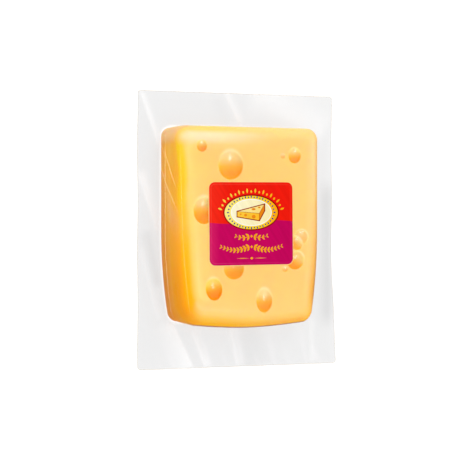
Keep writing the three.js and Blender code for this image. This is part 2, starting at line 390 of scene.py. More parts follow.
# Rims of points in and round an eye, as shares of its reach, and the pitch along each rim.
FINE_RIMS = (0.12, 0.3, 0.46, 0.6, 0.72, 0.82, 0.9, 0.95, 0.985, 1.01, 1.04, 1.09, 1.16, 1.25)
PLAIN_RIMS = (0.2, 0.4, 0.6, 0.78, 0.9, 1.0, 1.1, 1.25)
RIM_PITCH, LEAST_RIM_POINTS = 0.6, 8
BORDER_GAP, LEAST_BORDER_GAP, RIM_GAP = 0.5, 0.2, 0.05  # that grid points and rims leave free
WELD = 2e-6  # metres within which points become one
ROW_SHARE = math.sqrt(0.75)  # the pitch of rows in a grid of even triangles
KEEP_INSIDE, SAME_POINT = 1, 1e-5  # how a flat shape is cut into triangles


def hoop_faces(rings, count):
    """Quads between equal rings whose points follow each other in one list."""
    faces = []
    for band in range(rings - 1):
        low, high = band * count, (band + 1) * count
        for index in range(count):
            after = (index + 1) % count
            faces.append((low + index, low + after, high + after, high + index))
    return faces


def border_distance(points, outline):
    """How far each point is inside a convex outline that runs anticlockwise."""
    edge = np.roll(outline, -1, axis=0) - outline
    length = np.linalg.norm(edge, axis=1)
    keep = length > 1e-9
    edge, start = edge[keep] / length[keep][:, None], outline[keep]
    away = points[:, None, :] - start[None, :, :]
    inside = edge[None, :, 0] * away[:, :, 1] - edge[None, :, 1] * away[:, :, 0]
    return inside.min(axis=1)


def cap(outline, eyes, spacing, rims):
    """Triangles over the flat inside of an outline, finer in and round the eyes."""
    low, high = outline.min(axis=0), outline.max(axis=0)
    rows = np.arange(low[1], high[1], spacing * ROW_SHARE)
    runs = []
    for row, y in enumerate(rows):
        x = np.arange(low[0] + (row % 2) * spacing / 2, high[0], spacing)
        runs.append(np.column_stack((x, np.full(len(x), y))))
    points = np.concatenate(runs)
    points = points[border_distance(points, outline) > spacing * BORDER_GAP]
    for eye in eyes:
        x, y = eye_frame(points, eye)
        points = points[np.hypot(x / eye[1][0], y / eye[1][1]) > rims[-1] + RIM_GAP]
    for eye in eyes:
        centre, (half_width, half_height), lean, _, _ = eye
        cos, sin = math.cos(math.radians(lean)), math.sin(math.radians(lean))
        for rim in rims:
            around = 2 * math.pi * rim * max(half_width, half_height)
            count = max(LEAST_RIM_POINTS, int(around / RIM_PITCH))
            turn = np.arange(count) * 2 * math.pi / count
            x, y = rim * half_width * np.cos(turn), rim * half_height * np.sin(turn)
            loop = np.column_stack((x * cos - y * sin, x * sin + y * cos)) + centre
            points = np.concatenate((points, loop))
        points = np.concatenate((points, [centre]))
    points = points[border_distance(points, outline) > spacing * LEAST_BORDER_GAP]
    count = len(outline)
    edges = [(index, (index + 1) % count) for index in range(count)]
    corners = [Vector(p) for p in np.concatenate((outline, points))]
    made, _, faces, _, _, _ = delaunay_2d_cdt(corners, edges, [], KEEP_INSIDE, SAME_POINT)
    return np.array([tuple(p) for p in made]), [tuple(face) for face in faces]


def link(thing):
    bpy.context.scene.collection.objects.link(thing)
    return thing


def mesh_object(name, parts, material):
    """One smooth, closed mesh of several runs of points, welded where they meet."""
    points, faces, start = [], [], 0
    for part_points, part_faces in parts:
        points.append(part_points)
        faces += [tuple(start + corner for corner in face) for face in part_faces]
        start += len(part_points)
    mesh = bpy.data.meshes.new(name)
    mesh.from_pydata((np.concatenate(points) * MM).tolist(), [], faces)
    shell = bmesh.new()
    shell.from_mesh(mesh)
    bmesh.ops.remove_doubles(shell, verts=shell.verts, dist=WELD)
    bmesh.ops.recalc_face_normals(shell, faces=shell.faces)
    shell.to_mesh(mesh)
    shell.free()
    mesh.polygons.foreach_set("use_smooth", [True] * len(mesh.polygons))
    mesh.materials.append(material)
    return link(bpy.data.objects.new(name, mesh))


def vertices_mm(thing):
    """A mesh's points in millimetres, and its normals."""
    count = len(thing.data.vertices)
    points, normals = np.empty(count * 3), np.empty(count * 3)
    thing.data.vertices.foreach_get("co", points)
    thing.data.vertex_normals.foreach_get("vector", normals)
    return points.reshape(-1, 3) / MM, normals.reshape(-1, 3)


def give_attribute(thing, name, values):
    attribute = thing.data.attributes.new(name, "FLOAT", "POINT")
    attribute.data.foreach_set("value", np.asarray(values, dtype=np.float32))


def keep_evaluated(thing):
    """Turns what a piece's modifiers make into its own plain mesh."""
    made = thing.evaluated_get(bpy.context.evaluated_depsgraph_get())
    thing.data = bpy.data.meshes.new_from_object(made)
    thing.modifiers.clear()
    return thing


def block_skin(name, rings, front, back, spacings, rims, stand, dish, material):
    """A closed skin over the block: its rings, and a front and a back face with dished eyes.
    The faces stand off the cheese by stand."""
    parts = [(np.concatenate(rings), hoop_faces(len(rings), len(front)))]
    for outline, eyes, spacing, height, way in (
            (front, FRONT_EYES, spacings[0], BLOCK_FRONT + stand, -1),
            (back, BACK_EYES, spacings[1], BLOCK_BACK - stand, 1)):
        flat, faces = cap(outline[:, :2], eyes, spacing, rims)
        parts.append((ring(flat, height + way * dished(flat, eyes, *dish)), faces))
    return mesh_object(name, parts, material)


def fade(value, start, end):
    """Rises softly from 0 where a value is at start to 1 where it is at end."""
    share = np.clip((value - start) / (end - start), 0, 1)
    return share * share * (3 - 2 * share)


# --- Geometry Nodes -------------------------------------------------------------------------

BEAD_END = 0.15  # the share of a bead's width that is left at its very end


def new_tree(name, **inputs):
    """A geometry tree with its named inputs, and the node that gives them."""
    tree = bpy.data.node_groups.new(name, "GeometryNodeTree")
    tree.interface.new_socket("Geometry", in_out="INPUT", socket_type="NodeSocketGeometry")
    tree.interface.new_socket("Geometry", in_out="OUTPUT", socket_type="NodeSocketGeometry")
    for label, kind in inputs.items():
        socket = label.replace("_", " ")
        tree.interface.new_socket(socket, in_out="INPUT", socket_type="NodeSocket" + kind)
    return tree, add(tree, "NodeGroupInput").outputs


def finish_tree(tree, geometry, material):
    whole = add(tree, "GeometryNodeRealizeInstances", {"Geometry": geometry})
    smooth = add(tree, "GeometryNodeSetShadeSmooth", {"Geometry": whole})
    dressed = add(tree, "GeometryNodeSetMaterial", {"Geometry": smooth, "Material": material})
    add(tree, "NodeGroupOutput", {"Geometry": dressed})


def grow(name, paths, tree, **inputs):
    """Runs a tree on a mesh of open or closed paths, and keeps the result as a plain mesh."""
    points, edges, start = [], [], 0
    for path, closed in paths:
        count = len(path)
        points += (np.asarray(path) * MM).tolist()
        edges += [(start + i, start + (i + 1) % count) for i in range(count if closed else count - 1)]
        start += count
    mesh = bpy.data.meshes.new(name)
    mesh.from_pydata(points, edges, [])
    thing = link(bpy.data.objects.new(name, mesh))
    modifier = thing.modifiers.new(name, "NODES")
    modifier.node_group = tree
    sockets = {item.name: item.identifier for item in tree.interface.items_tree
               if item.in_out == "INPUT"}
    for label, value in inputs.items():
        modifier[sockets[label.replace("_", " ")]] = value
    return keep_evaluated(thing)


def bead_tree():
    """A round bead along each path, thinning towards the ends of an open one."""
    tree, given = new_tree("film_bead", Width="Float", Taper="Float", Sides="Int",
                           Finish="Material")
    curve = add(tree, "GeometryNodeMeshToCurve", {"Mesh": given["Geometry"]})
    factor = add(tree, "GeometryNodeSplineParameter")
    left = add(tree, "ShaderNodeMath", {0: 1.0, 1: factor}, operation="SUBTRACT")
    nearer = add(tree, "ShaderNodeMath", {0: factor, 1: left}, operation="MINIMUM")
    rise = add(tree, "ShaderNodeMapRange", {
        "Value": nearer, "From Min": 0.0, "From Max": given["Taper"], "To Min": BEAD_END,
        "To Max": 1.0}, interpolation_type="SMOOTHSTEP")
    half = add(tree, "ShaderNodeMath", {0: given["Width"], 1: 0.5}, operation="MULTIPLY")
    profile = add(tree, "GeometryNodeCurvePrimitiveCircle",
                  {"Resolution": given["Sides"], "Radius": half})
    bead = add(tree, "GeometryNodeCurveToMesh", {
        "Curve": curve, "Profile Curve": profile, "Scale": rise, "Fill Caps": True})
    finish_tree(tree, bead, given["Finish"])
    return tree


# --- The cheese -----------------------------------------------------------------------------

RIM_LOW, RIM_HIGH = -14.0, 20.0  # the stretch across an edge that its colours cover
LEFT_LOW, LEFT_HIGH = -27.0, 22.0  # the same on the left, from the line where the front begins
# That line's place across the rounding at some heights, from the foot up.
LEFT_LINE = ((-53, -2.8), (-43, -3.3), (-35, -3.8), (-8, -3.8), (0, -4.4), (7, -4.8), (14, -5.5),
             (21, -5.7), (29, -4.8), (36, -5.0), (43, -5.7), (50, -6.6))

# How the stretches of the edge give way to each other. A span holds the value at which a
# stretch sets in and the one at which it is whole.
SQUARENESS = 5  # how closely the way that the outline faces keeps to its four sides
LOW_MIDDLE, LOW_SLOPE = 0.55, 0.8  # how low it is at half height, and its change from there
LEFTWARD_SPAN = (0.45, -0.55)  # in half widths from the middle
FACING_SPAN, RIGHT_LOSS = (0.08, 0.88), 0.4  # the top and the foot, and what the right takes
LEFT_PULL, LEFT_LOW_PULL, LEFT_SPAN = 1.2, 0.2, (0.15, 1.05)
LEFT_TOP_LOSS, LEFT_LOSS_SPAN = 0.9, (-13.0, -5.5)  # near the block's top, in millimetres
# At the foot's left corner the left side ends at a line that slants inwards from this point.
CORNER_X, CORNER_Y, CORNER_SLANT, CORNER_SPAN = -37.8, -44.0, 0.6, (-6.0, -1.0)
CORNER_FADE, CORNER_SPREAD, LEAST_CORNER_FADE = 5.5, 1.3, 2.5
# The pale top of the left side, a painted highlight: its span up the side, round the edge and away from
# the face.
LEFT_TOP_SPAN, LEFT_TOP_EDGE, LEFT_TOP_DEPTH, LEFT_TOP_FACING = (49.5, 57), 1.2, (-18, -9), 0.5


def across_edge(points, normals):
    """How far points lie across the front or back edge: above nought on the face, below it
    down the rounding and the side."""
    inside = border_distance(points[:, :2], block_outline(FRONT_ROUND_REACH, 1.0))
    tilt = np.arccos(np.clip(np.abs(normals[:, 2]), 0, 1))
    rounding = (FRONT_ROUND_REACH + FRONT_ROUND_DEPTH) / 2 * tilt
    below = np.maximum(0, BLOCK_FRONT - FRONT_ROUND_DEPTH - points[:, 2])
    return np.where(inside > 0, inside, -rounding - below)


def edge_shares(points, across):
    """Where points stand between an edge's side and the face, and how far they belong to
    the left, the top and the foot: the shares that lay the paste's painted light and shade
    along its edges."""
    x, y = points[:, 0], points[:, 1]
    sideways, up = (x - BLOCK_CENTRE_X) / BLOCK_HALF_WIDTH, y / BLOCK_TOP
    facing = np.array((sideways ** SQUARENESS, up ** SQUARENESS))
    rightward, upward = facing / np.maximum(np.linalg.norm(facing, axis=0), 1e-6)
    low = np.clip(LOW_MIDDLE - LOW_SLOPE * up, 0, 1)
    line = np.interp(y, *zip(*LEFT_LINE))
    left = fade(LEFT_LOW_PULL * low - (LEFT_PULL + low) * rightward, *LEFT_SPAN)
    left *= 1 - LEFT_TOP_LOSS * fade(y - BLOCK_TOP, *LEFT_LOSS_SPAN)
    below = CORNER_Y - y
    width = np.maximum(LEAST_CORNER_FADE, CORNER_FADE + CORNER_SPREAD * below)
    left *= 1 - fade(x - CORNER_X + CORNER_SLANT * below, 0, width) * fade(below, *CORNER_SPAN)
    left_top = fade(y, *LEFT_TOP_SPAN) * fade(line - across, 0, LEFT_TOP_EDGE)
    left_top *= fade(-rightward, 0, LEFT_TOP_FACING) * (1 + fade(across - line, *LEFT_TOP_DEPTH)) / 2
    return {
        "rim": np.clip((across - RIM_LOW) / (RIM_HIGH - RIM_LOW), 0, 1),
        "left_rim": np.clip((across - line - LEFT_LOW) / (LEFT_HIGH - LEFT_LOW), 0, 1),
        "low": low,
        "leftward": fade(sideways, *LEFTWARD_SPAN),
        "left": left,
        "left_top": left_top,
        "top": fade(upward - RIGHT_LOSS * np.maximum(0, rightward), *FACING_SPAN),
        "foot": fade(-upward, *FACING_SPAN),
    }


# Where an eye's colour ends, and how softly, as shares of its reach: at its foot, and what is
# added to that at its top.
EYE_LIMIT, EYE_SOFTNESS = (1.04, 0.14), (0.05, 0.15)
HALO_PLACE, HALO_WIDTH = 1.04, 0.13  # the pale rim, a painted highlight, as shares of an eye's own reach
HALO_STRENGTH, FAINT_HALO = 0.2, 0.8  # an eye's pale rim, and what a faint eye adds to it
HALO_MIDDLE = 0.35  # the pale rim's strength at an eye's middle height, as a share of its top's
FACING_OUT = 0.2  # how far a normal has to lean to a face to count as in it


def eye_shares(points, normals):
    """How far each point lies in an eye, how low in it, how rich that eye's colour is, and
    how far the point lies in the pale rim over it. The lowness lays each eye's painted light
    and shade, pale at its top and deep orange at its foot, and the pale rim is a painted
    highlight."""
    eye, low, rich, halo = np.zeros((4, len(points)))
    for eyes, way in ((FRONT_EYES, 1), (BACK_EYES, -1)):
        facing = way * normals[:, 2] > FACING_OUT
        for spot in eyes:
            _, (half_width, half_height), _, richness, _ = spot
            x, y = eye_frame(points, spot)
            x, y = x / half_width, y / half_height
            reach = np.hypot(x, y)
            highness = np.clip(y / np.maximum(reach, 0.1), 0, 1)
            limit, softness = (at_foot + more * highness for at_foot, more in (EYE_LIMIT, EYE_SOFTNESS))
            inside = np.clip((limit - reach) / softness, 0, 1) * facing * (1 + min(0, richness))
            better = inside > eye
            eye = np.where(better, inside, eye)
            low = np.where(better, np.clip(0.5 - 0.5 * y, 0, 1), low)
            rich = np.where(better, max(0, richness), rich)
            pale = np.clip(HALO_MIDDLE + (1 - HALO_MIDDLE) * y, 0, 1) * facing
            pale = pale * np.exp(-((reach - HALO_PLACE) / HALO_WIDTH) ** 2)
            halo = np.maximum(halo, (HALO_STRENGTH - FAINT_HALO * min(0, richness)) * pale)
    return {"eye": eye, "eye_low": low, "eye_rich": rich, "eye_halo": halo}


def make_cheese(material):
    back_steps, side_steps, front_steps = CHEESE_RINGS
    side_low, side_high = BLOCK_BACK + BACK_ROUND_DEPTH, BLOCK_FRONT - FRONT_ROUND_DEPTH
    rings = [back_round(turn) for turn in np.linspace(90, 0, back_steps)]
    rings += [side_ring(z) for z in np.linspace(side_low, side_high, side_steps)[1:-1]]
    rings += [front_round(turn) for turn in np.linspace(0, 90, front_steps)]
    thing = block_skin("cheese_block", rings, rings[-1], rings[0], CHEESE_SPACING, FINE_RIMS, 0.0,
                       CHEESE_DISH, material)
    points, normals = vertices_mm(thing)
    shares = edge_shares(points, across_edge(points, normals)) | eye_shares(points, normals)
    for name, values in shares.items():
        give_attribute(thing, name, values)
    return thing


PASTE = "#FFC978"  # the cut face
# The pale rim over an eye's top, a painted highlight.
EYE_HALO = "#FFDFA8"
LEFT_TOP_COLOUR = "#F4BE82"  # a painted highlight on the top of the left side

# The foot's side in painted shade, and the dark painted shadow line where its rounding begins.
FOOT_SHADE = ((0.0, "#DC9038"), (0.06, "#D08630"), (0.095, "#985820"), (0.13, "#8A4A14"))

# The paste's colours by the share that each run of them follows: across an edge from its
# side (0) to the face (1), and down an eye from its upper rim (0) to its lower one (1).
# They are painted light and shade: the pale bands are painted highlights, the orange sides
# are painted shade, and each eye runs from a pale painted top to a deep orange foot.
PASTE_COLOURS = {
    "left_high": ("left_rim", (
        (0.0, "#EAA03E"), (0.16, "#EC9C34"), (0.29, "#F4A628"), (0.4, "#FAB034"), (0.486, "#FCB641"),
        (0.546, "#FFB93E"), (0.571, "#FFCD28"), (0.62, "#FFCE31"), (0.643, "#FFD251"),
        (0.665, "#FFD36F"), (0.69, "#FFD780"), (0.767, "#FFCE76"), (1.0, PASTE))),
    "left_low": ("left_rim", (
        (0.0, "#D0780A"), (0.145, "#D87C03"), (0.388, "#E7930E"), (0.502, "#EFA018"),
        (0.553, "#FEA90E"), (0.578, "#FFB002"), (0.626, "#FFB401"), (0.65, "#FFBA1B"),
        (0.7, "#FFCE66"), (0.753, "#FFD989"), (0.83, "#FFCF7B"), (1.0, PASTE))),
    "top_left": ("rim", (
        (0.0, "#FFC880"), (0.15, "#FFCE70"), (0.25, "#FFD072"), (0.335, "#FFDFB8"), (0.38, "#FFDFB8"),
        (0.43, "#FFDBAC"), (0.51, "#FFCF84"), (0.62, PASTE), (1.0, PASTE))),
    "top_right": ("rim", (
        (0.0, "#F0B060"), (0.12, "#FFCE82"), (0.34, "#FFCE85"), (0.43, "#FFCA7D"), (1.0, PASTE))),
    "right_high": ("rim", (
        (0.0, "#C88A40"), (0.232, "#DEAC5C"), (0.273, "#E6BC78"), (0.304, "#F8CA8A"),
        (0.348, "#FFCE90"), (0.4, "#FFCC86"), (0.5, "#FFCA79"), (1.0, PASTE))),
    "right_low": ("rim", (
        (0.0, "#9A5410"), (0.2, "#B87428"), (0.25, "#D09338"), (0.29, "#E2A444"), (0.316, "#ECAE4D"),
        (0.34, "#F8B85C"), (0.384, "#FFC67A"), (0.42, "#FFCD82"), (0.5, PASTE), (1.0, PASTE))),
    "foot_left": ("rim", (
        *FOOT_SHADE, (0.165, "#D88810"), (0.185, "#FFB206"), (0.232, "#FFB31C"), (0.318, "#FFC24E"),
        (0.388, "#FFCC74"), (0.459, "#FFD288"), (0.529, "#FFCE7E"), (0.67, "#FFCB7A"), (1.0, PASTE))),
    "foot_right": ("rim", (
        *FOOT_SHADE, (0.165, "#D8923C"), (0.19, "#FFB139"), (0.232, "#FFB444"), (0.28, "#FFBC58"),
        (0.318, "#FFC66A"), (0.388, "#FFCC7A"), (0.45, "#FFCC7C"), (1.0, PASTE))),
    "eye": ("eye_low", (
        (0.0, "#FFDCA4"), (0.136, "#FFD991"), (0.272, "#FFD68B"), (0.41, "#FFC66A"), (0.544, "#FFB93B"),
        (0.68, "#FFAB2D"), (0.816, "#FFA42C"), (1.0, "#FFA82A"))),
    "rich_eye": ("eye_low", (
        (0.0, "#FFDA9A"), (0.11, "#FFD969"), (0.283, "#FFD060"), (0.457, "#FFBA2D"), (0.63, "#FFA00C"),
        (0.804, "#FF9004"), (1.0, "#FF9802"))),
}
# How they are laid: what each mix makes, the share by which it turns from a first colour to
# a second, and those two. Lower down the sides the painted shade deepens, and the top's
# painted highlight is stronger at its left.
PASTE_LAYERS = (
    ("left", "low", "left_high", "left_low"),
    ("right", "low", "right_high", "right_low"),
    ("top", "leftward", "top_right", "top_left"),
    ("foot", "leftward", "foot_right", "foot_left"),
    ("edge", "foot", "right", "foot"),
    ("edge", "top", "edge", "top"),
    ("edge", "left", "edge", "left"),
    ("edge", "left_top", "edge", "left_top"),
    ("hollow", "eye_rich", "eye", "rich_eye"),
    ("paste", "eye", "edge", "hollow"),
    ("paste", "eye_halo", "paste", "eye_halo"),
)
CURD_PITCH, GRAIN_PITCH = 9.09, 0.714  # pressed curds, and the matt grain of a wet cut


def cheese_paste():
    """Emmental paste, cut and pressed smooth: matt, and light sinks a few millimetres into it.
    Over that, its colour ramps paint the light and shade of its rounded edges and its eyes:
    pale painted highlights along the top and the face's border, painted shade on its sides
    that deepens towards the foot, and a pale top and a deep orange foot in each eye."""
    material, tree = new_material("emmental_paste")
    followed = {share for share, _ in PASTE_COLOURS.values()} | {row[1] for row in PASTE_LAYERS}
    shares = {name: add(tree, "ShaderNodeAttribute", attribute_name=name).outputs["Fac"]
              for name in sorted(followed)}
    colours = {"left_top": linear(LEFT_TOP_COLOUR), "eye_halo": linear(EYE_HALO)}
    for name, (share, stops) in PASTE_COLOURS.items():
        colours[name] = add(tree, "ShaderNodeValToRGB", {"Fac": shares[share]}, stops=stops)
    for made, share, first, second in PASTE_LAYERS:
        colours[made] = add(tree, "ShaderNodeMix", {
            0: shares[share], MIX_A: colours[first], MIX_B: colours[second]}, data_type="RGBA")
    place = add(tree, "ShaderNodeTexCoord").outputs["Object"]
    curd = add(tree, "ShaderNodeTexNoise",
               {"Vector": place, "Scale": 1 / (CURD_PITCH * MM), "Detail": 4.0})
    patchy = add(tree, "ShaderNodeMapRange", {"Value": curd, "To Min": 0.98, "To Max": 1.02})
    shade = add(tree, "ShaderNodeMix", {0: 1.0, MIX_A: colours["paste"], MIX_B: patchy},
                data_type="RGBA", blend_type="MULTIPLY")
    grain = add(tree, "ShaderNodeTexNoise",
                {"Vector": place, "Scale": 1 / (GRAIN_PITCH * MM), "Detail": 2.0})
    relief = add(tree, "ShaderNodeBump",
                 {"Height": grain, "Strength": 0.15, "Distance": 0.05 * MM})
    shader = add(tree, "ShaderNodeBsdfPrincipled", {
        "Base Color": shade, "Roughness": 0.5, "IOR": 1.45, "Specular IOR Level": 0.06,
        "Subsurface Weight": 1.0, "Subsurface Radius": (1.0, 0.5, 0.18),
        "Subsurface Scale": 2.0 * MM, "Normal": relief})
    finish_material(tree, shader)
    return material


# --- The film -------------------------------------------------------------------------------

NEAR_REACHES = (0, 0.35, 0.75, 1.25, 1.9, 2.7, 3.7)  # rings of the margin close to the block
MARGIN_RINGS = 34
FAR = 1000.0  # a distance from the block at which its pull on the film is over
# How milky the film is: over the cheese, in the margin, more within this reach of the block,
# and in a fold, where it partly paints a highlight; and in a thin white band where the films
# leave the block, a painted highlight, also on its left.
CLING_HAZE, MARGIN_HAZE, FOLD_HAZE_AND_SHEEN = 0.004, 0.03, 0.28
NEAR_HAZE, NEAR_REACH = 0.03, 5.0
HALO_HAZE, HALO_LEFT_HAZE, HALO_LEFT_POWER = 0.15, 0.02, 6
MARGIN_GREY, FOLD_GREY = 0.52, 0.6
# Spans outwards from the block: where the film is free of it, and where its thin white band of painted
# highlight lies.
FREE_SPAN, HALO_RISE, HALO_FALL = (0.5, 2.0), (0.1, 0.7), (2.6, 1.0)
# A soft painted sheen on the left side, laid as milky film, in y and z, and how far it sinks with each
# millimetre of y.
SHEEN_CENTRE, SHEEN_RADII, SHEEN_FALL, SHEEN_HAZE = (12.5, 20.5), (12.0, 4.5), 0.43, 0.085
FOLD_ENDS, FOLD_REACH = 0.15, 4.0  # over which a fold sets in along itself and off the block
TIGHT_SPAN = (0.95, 0.65)  # shares of an eye's reach between which the film in it gets tight
# The film's gloss: at a glancing angle and how late it sets in, square on, and where it is tight.
GLANCE_GLOSS, GLANCE_POWER, FACE_GLOSS, TIGHT_GLOSS = 0.06, 8.0, 0.002, 0.014


def fold_strength(points, fold):
    """How strongly each point feels a fold, from 0 to 1."""
    start, end, (left, right), _, _ = fold
    run = np.subtract(end, start)
    length = np.linalg.norm(run)
    along, across = run / length, np.array((-run[1], run[0])) / length
    share = (points - start) @ along / length
    offset = (points - start) @ across
    ends = fade(share, 0, FOLD_ENDS) * fade(share, 1, 1 - FOLD_ENDS)
    return ends * np.exp(-(offset / np.where(offset < 0, left, right)) ** 2)


def margin_height(points, distance, freedom):
    """Height of the margin's middle. Freedom is 0 at the block and 1 at the pouch's edge."""
    phase = 2 * math.pi * (points[:, 0] + RIPPLE_SLANT * points[:, 1]) / RIPPLE_PITCH
    lift = freedom * (RIPPLE_HEIGHT * np.sin(phase) - MARGIN_DROOP * freedom)
    folds = sum(fold[3] * fold_strength(points, fold) for fold in MARGIN_FOLDS)
    return SEAM_HEIGHT + lift + fade(distance, 0, FOLD_REACH) * folds


def in_eyes(points):
    """How bright the film glints where it is sucked tight into an eye."""
    tight = np.zeros(len(points))
    front = points[:, 2] > BLOCK_FRONT / 2
    for eyes, near_side in ((FRONT_EYES, front), (BACK_EYES, ~front)):
        for eye in eyes:
            x, y = eye_frame(points, eye)
            reach = np.hypot(x / eye[1][0], y / eye[1][1])
            tight = np.maximum(tight, eye[4] * fade(reach, *TIGHT_SPAN) * near_side)
    return tight


def make_film(material):
    inner, rim = block_outline(-CLING), pouch_outline()
    run = rim - inner
    length = np.linalg.norm(run, axis=1)

    def margin_rings(side):
        near = [np.full(len(inner), reach) for reach in NEAR_REACHES]
        far = [NEAR_REACHES[-1] + share * (length - NEAR_REACHES[-1])
               for share in np.linspace(0, 1, MARGIN_RINGS + 1)[1:]]
        rings = []
        for distance in near + far:
            points = inner + run * (distance / length)[:, None]
            gap = FILM + (PARTING_HALF_HEIGHT - FILM) * np.exp(-distance / PARTING_REACH)
            height = margin_height(points, distance, distance / length)
            rings.append(ring(points, height + side * gap))
        return rings

    back_steps, side_steps, front_steps = FILM_RINGS
    side_top, side_foot = BLOCK_FRONT - FRONT_ROUND_DEPTH, SEAM_HEIGHT + PARTING_HALF_HEIGHT
    rings = [front_round(turn, CLING) for turn in np.linspace(90, 0, front_steps)]
    rings += [side_ring(z, CLING) for z in np.linspace(side_top, side_foot, side_steps)[1:-1]]
    rings += margin_rings(1) + margin_rings(-1)[::-1]
    rings += [back_round(turn, CLING) for turn in np.linspace(FILM_BACK_TURN, 90, back_steps)]
    thing = block_skin("pouch_film", rings, rings[0], rings[-1], FILM_SPACING, PLAIN_RIMS, CLING,
                       FILM_DISH, material)
    points, _ = vertices_mm(thing)
    outside = -border_distance(points[:, :2], inner)
    leftness = (BLOCK_CENTRE_X - points[:, 0]) / BLOCK_HALF_WIDTH
    free = fade(outside, *FREE_SPAN)
    tone = free * sum(fold[4] * fold_strength(points[:, :2], fold) for fold in MARGIN_FOLDS)
    near = free * np.exp(-np.maximum(outside, 0) / NEAR_REACH)
    away = points[:, 1:] - SHEEN_CENTRE
    away[:, 1] += SHEEN_FALL * away[:, 0]
    away /= SHEEN_RADII
    sheen = np.exp(-(away ** 2).sum(axis=1)) * (leftness > LEFT_SHARE) * (outside < FREE_SPAN[0])
    haze_and_sheen = CLING_HAZE + (MARGIN_HAZE - CLING_HAZE) * free + FOLD_HAZE_AND_SHEEN * np.clip(tone, 0, 1)
    haze_and_sheen += NEAR_HAZE * near + SHEEN_HAZE * sheen
    halo = HALO_HAZE + (HALO_LEFT_HAZE - HALO_HAZE) * np.clip(leftness, 0, 1) ** HALO_LEFT_POWER
    halo *= fade(outside, *HALO_RISE) * fade(outside, *HALO_FALL)
    give_attribute(thing, "haze_and_sheen", np.maximum(haze_and_sheen, halo))
    give_attribute(thing, "grey", np.clip(MARGIN_GREY * free - FOLD_GREY * tone, 0, 1))
    give_attribute(thing, "stretched", in_eyes(points))
    return thing


def pouch_film():
    """Clear nylon and polyethylene film: it shows what is behind it, a little greyed, with
    soft gloss that rises at a glancing angle, and it is milky white along its folds. Its milky
    white also paints highlights, along the folds and in a thin band just off the block, and a
    sheen on the block's left side; its grey paints shade round the block."""
    material, tree = new_material("pouch_film")
    haze_and_sheen, grey, stretched = (
        add(tree, "ShaderNodeAttribute", attribute_name=name).outputs["Fac"]
        for name in ("haze_and_sheen", "grey", "stretched"))
    tint = add(tree, "ShaderNodeMix", {0: grey, MIX_A: linear("#F8F8F8"), MIX_B: linear("#E4E4E4")},
               data_type="RGBA")
    clear = add(tree, "ShaderNodeBsdfTransparent", {"Color": tint})
    gloss = add(tree, "ShaderNodeBsdfAnisotropic", {"Color": linear("#FFE8F6"), "Roughness": 0.14})
    facing = add(tree, "ShaderNodeLayerWeight", {"Blend": 0.5}).outputs["Facing"]
    steep = add(tree, "ShaderNodeMath", {0: facing, 1: GLANCE_POWER}, operation="POWER")
    square_on = add(tree, "ShaderNodeMath", {0: stretched, 1: TIGHT_GLOSS, 2: FACE_GLOSS},
                    operation="MULTIPLY_ADD")
    mirrored = add(tree, "ShaderNodeMath", {0: steep, 1: GLANCE_GLOSS, 2: square_on},
                   operation="MULTIPLY_ADD")
    shine = add(tree, "ShaderNodeMixShader", {0: mirrored, 1: clear, 2: gloss})
    cloud = add(tree, "ShaderNodeBsdfDiffuse", {"Color": linear("#FAFAFA")})
    finish_material(tree, add(tree, "ShaderNodeMixShader", {0: haze_and_sheen, 1: shine, 2: cloud}))
    return material


def left_side(y, turn, z=None):
    """A point on the film over the block's left side, by its turn on the front rounding or,
    lower down, by its height."""
    inset, height = front_profile(turn, CREASE_STAND)
    if z is not None:
        inset, height = -CREASE_STAND, z
    return BLOCK_CENTRE_X - (BLOCK_HALF_WIDTH - inset) * narrowing(y), y, height


def on_left_side(y, z):
    rise = (z - BLOCK_FRONT + FRONT_ROUND_DEPTH) / FRONT_ROUND_DEPTH
    if rise <= 0:
        return left_side(y, 0, z)
    return left_side(y, math.degrees(math.asin(min(1, rise))))


def crease_paths():
    """Where the film over the block is creased: across its left side and along it."""
    paths = [([on_left_side(y, z) for y, z in crease], False) for crease in SIDE_CREASES]
    around = side_ring(SIDE_LINE_HEIGHT, CREASE_STAND)
    left = around[around[:, 0] < BLOCK_CENTRE_X - BLOCK_HALF_WIDTH * LEFT_SHARE]
    return paths + [(np.concatenate((left, left[-1] + SIDE_LINE_TAIL)), False)]


def front_crease_paths():
    """The crease along the left front edge."""
    above, below = EDGE_LINE_ENDS
    turns = np.linspace(*EDGE_LINE_TURNS, EDGE_LINE_STEPS)
    heights = np.linspace(BLOCK_TOP - above, BLOCK_FOOT + below, EDGE_LINE_STEPS)
    return [([left_side(y, turn) for y, turn in zip(heights, turns)], False)]


def white_crease(name, glint):
    """A crease in film: what is behind still shows, and the bent plastic adds a soft glint to
    it. The glint's colour is a dark one, since it comes on top of what shows through."""
    material, tree = new_material(name)
    clear = add(tree, "ShaderNodeBsdfTransparent", {"Color": linear("#FFFFFF")})
    gloss = add(tree, "ShaderNodeBsdfAnisotropic", {"Color": linear(glint), "Roughness": 0.5})
    finish_material(tree, add(tree, "ShaderNodeAddShader", {0: clear, 1: gloss}))
    return material


def cut_edge():
    """The cut edge of two films sealed together: light runs out of it a little warm."""
    material, tree = new_material("cut_film_edge")
    clear = add(tree, "ShaderNodeBsdfTransparent", {"Color": linear("#F4F1EC")})
    cream = add(tree, "ShaderNodeBsdfDiffuse", {"Color": linear("#F3EBDD")})
    finish_material(tree, add(tree, "ShaderNodeMixShader", {0: 0.3, 1: clear, 2: cream}))
    return material


# --- The label ------------------------------------------------------------------------------

